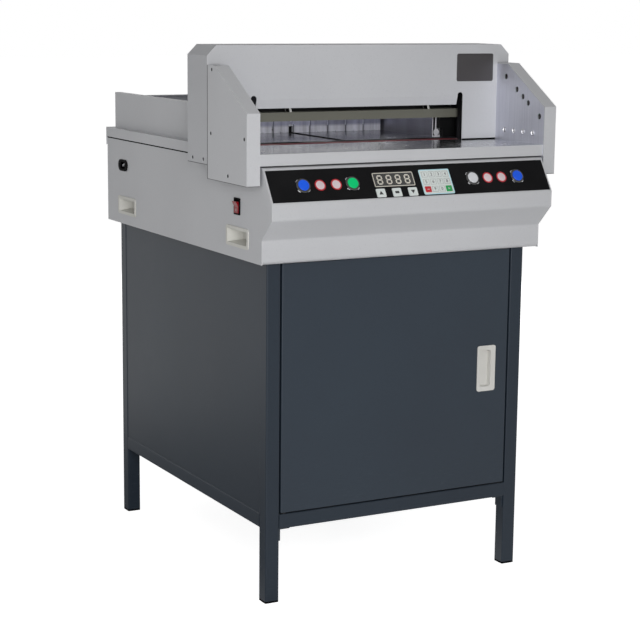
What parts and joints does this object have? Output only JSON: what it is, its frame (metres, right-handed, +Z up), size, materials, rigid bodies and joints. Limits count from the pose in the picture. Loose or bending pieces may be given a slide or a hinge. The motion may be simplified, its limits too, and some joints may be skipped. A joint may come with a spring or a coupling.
{
  "type": "electric paper cutter",
  "caption": "Electric guillotine paper cutter with polished table, light-barrier wings, clamp, slanting knife and powered back gauge on a cabinet stand with a hinged door.",
  "frame": {"origin": "middle of the bounding box on the floor", "axes": "+Z up, +X to the right seen from the front, the front faces -Y"},
  "size_m": [0.704, 0.83, 1.092],
  "materials": {
    "stand_paint": "satin powder coat",
    "body_paint": "fine textured powder coat",
    "olive_paint": "satin paint",
    "black_paint": "satin paint",
    "cast_black": "painted casting",
    "polished_steel": "polished",
    "bright_steel": "ground",
    "knife_steel": "oiled, ground edge",
    "guide_steel": "satin",
    "aluminium": "brushed",
    "black_plastic": "fine grain",
    "cream_plastic": "fine grain",
    "overlay_film": "satin film",
    "display_face": "smoked window",
    "keypad_film": "satin film",
    "blue_cap": "smooth",
    "green_cap": "smooth",
    "white_cap": "smooth",
    "red_rocker": "smooth",
    "stick_plastic": "smooth",
    "circuit_board": "solder mask",
    "belt_rubber": "moulded"
  },
  "bodies": {
    "machine": {"stand_legs": "stand_paint", "stand_rails": "stand_paint", "foot_caps": "black_plastic", "side_panels": "stand_paint", "back_panel": "stand_paint", "cabinet_floor": "stand_paint", "hinge_pins": "bright_steel", "door_catch": "black_plastic", "base_plate": "bright_steel", "base_casing": "body_paint", "front_fascia": "body_paint", "panel_overlay": "overlay_film", "display_module": "display_face", "membrane_keys": "keypad_film", "control_board": "circuit_board", "button_bezels": "black_plastic", "carry_cups": "cream_plastic", "power_inlet": "black_plastic", "switch_bezel": "black_plastic", "front_table": "polished_steel", "table_apron": "body_paint", "cutting_stick": "stick_plastic", "rear_table": "polished_steel", "rear_lid": "body_paint", "rear_walls": "body_paint", "side_guides": "guide_steel", "side_frames": "cast_black", "top_beam": "black_paint", "head_cover": "body_paint", "head_back": "body_paint", "wing_covers": "body_paint", "wing_plates": "aluminium", "light_boards": "circuit_board", "gearbox": "aluminium", "drive_motor": "body_paint", "clamp_belt": "belt_rubber", "clamp_motor": "black_paint", "guide_rods": "bright_steel", "rod_blocks": "aluminium", "gauge_motor": "black_paint", "power_supply": "aluminium"},
    "door": {"door_panel": "stand_paint", "door_pull": "cream_plastic"},
    "knife_body": {"knife": "knife_steel", "knife_carrier": "black_paint", "knife_bolts": "bright_steel"},
    "crank_body": {"crank": "bright_steel"},
    "clamp_body": {"clamp_beam": "olive_paint"},
    "left_screw": {"clamp_screw_left": "bright_steel"},
    "right_screw": {"clamp_screw_right": "bright_steel"},
    "gauge_body": {"gauge_bar": "aluminium", "gauge_fingers": "bright_steel", "gauge_carriage": "aluminium"},
    "gauge_drive": {"gauge_screw": "bright_steel"},
    "left_cut": {"cut_button_left": "blue_cap"},
    "right_cut": {"cut_button_right": "blue_cap"},
    "start": {"start_button": "green_cap"},
    "reset": {"reset_button": "white_cap"},
    "rocker": {"switch_rocker": "red_rocker"}
  },
  "joints": [
    {"name": "door_hinge", "type": "hinge", "parent": "machine", "child": "door", "pos_m": [-0.255, -0.345, 0.43], "axis": [0, 0, -1], "range_deg": [0, 110]},
    {"name": "knife_stroke", "type": "slide", "parent": "machine", "child": "knife_body", "axis": [0.3237, 0, -0.9462], "range_m": [0, 0.08032]},
    {"name": "crank_turn", "type": "hinge", "parent": "machine", "child": "crank_body", "pos_m": [0.207, -0.163, 0.786], "axis": [0, 1, 0], "range_deg": [-1, 101]},
    {"name": "clamp_press", "type": "slide", "parent": "machine", "child": "clamp_body", "axis": [0, 0, -1], "range_m": [0, 0.0445]},
    {"name": "left_screw_turn", "type": "hinge", "parent": "machine", "child": "left_screw", "pos_m": [-0.27, -0.1375, 0.87], "axis": [0, 0, 1], "continuous": true},
    {"name": "right_screw_turn", "type": "hinge", "parent": "machine", "child": "right_screw", "pos_m": [0.27, -0.1375, 0.87], "axis": [0, 0, 1], "continuous": true},
    {"name": "gauge_slide", "type": "slide", "parent": "machine", "child": "gauge_body", "axis": [0, 1, 0], "range_m": [-0.22, 0.19]},
    {"name": "gauge_screw_turn", "type": "hinge", "parent": "machine", "child": "gauge_drive", "pos_m": [-0.009, 0.12, 0.853], "axis": [0, 1, 0], "continuous": true},
    {"name": "left_cut_press", "type": "slide", "parent": "machine", "child": "left_cut", "axis": [0, 0.8458, -0.5335], "range_m": [0, 0.004], "stiffness_N_per_m": 500, "springref_m": -0.004},
    {"name": "right_cut_press", "type": "slide", "parent": "machine", "child": "right_cut", "axis": [0, 0.8458, -0.5335], "range_m": [0, 0.004], "stiffness_N_per_m": 500, "springref_m": -0.004},
    {"name": "start_press", "type": "slide", "parent": "machine", "child": "start", "axis": [0, 0.8458, -0.5335], "range_m": [0, 0.004], "stiffness_N_per_m": 500, "springref_m": -0.004},
    {"name": "reset_press", "type": "slide", "parent": "machine", "child": "reset", "axis": [0, 0.8458, -0.5335], "range_m": [0, 0.004], "stiffness_N_per_m": 500, "springref_m": -0.004},
    {"name": "rocker_tilt", "type": "hinge", "parent": "machine", "child": "rocker", "pos_m": [-0.316, -0.267, 0.785], "axis": [0, 1, 0], "range_deg": [0, 20]}
  ],
  "couplings": [
    {"joint": "crank_turn", "follows": "knife_stroke", "rad_per_m": 21.73},
    {"joint": "left_screw_turn", "follows": "clamp_press", "rad_per_m": 628.32},
    {"joint": "right_screw_turn", "follows": "clamp_press", "rad_per_m": 628.32},
    {"joint": "gauge_screw_turn", "follows": "gauge_slide", "rad_per_m": 628.32}
  ]
}
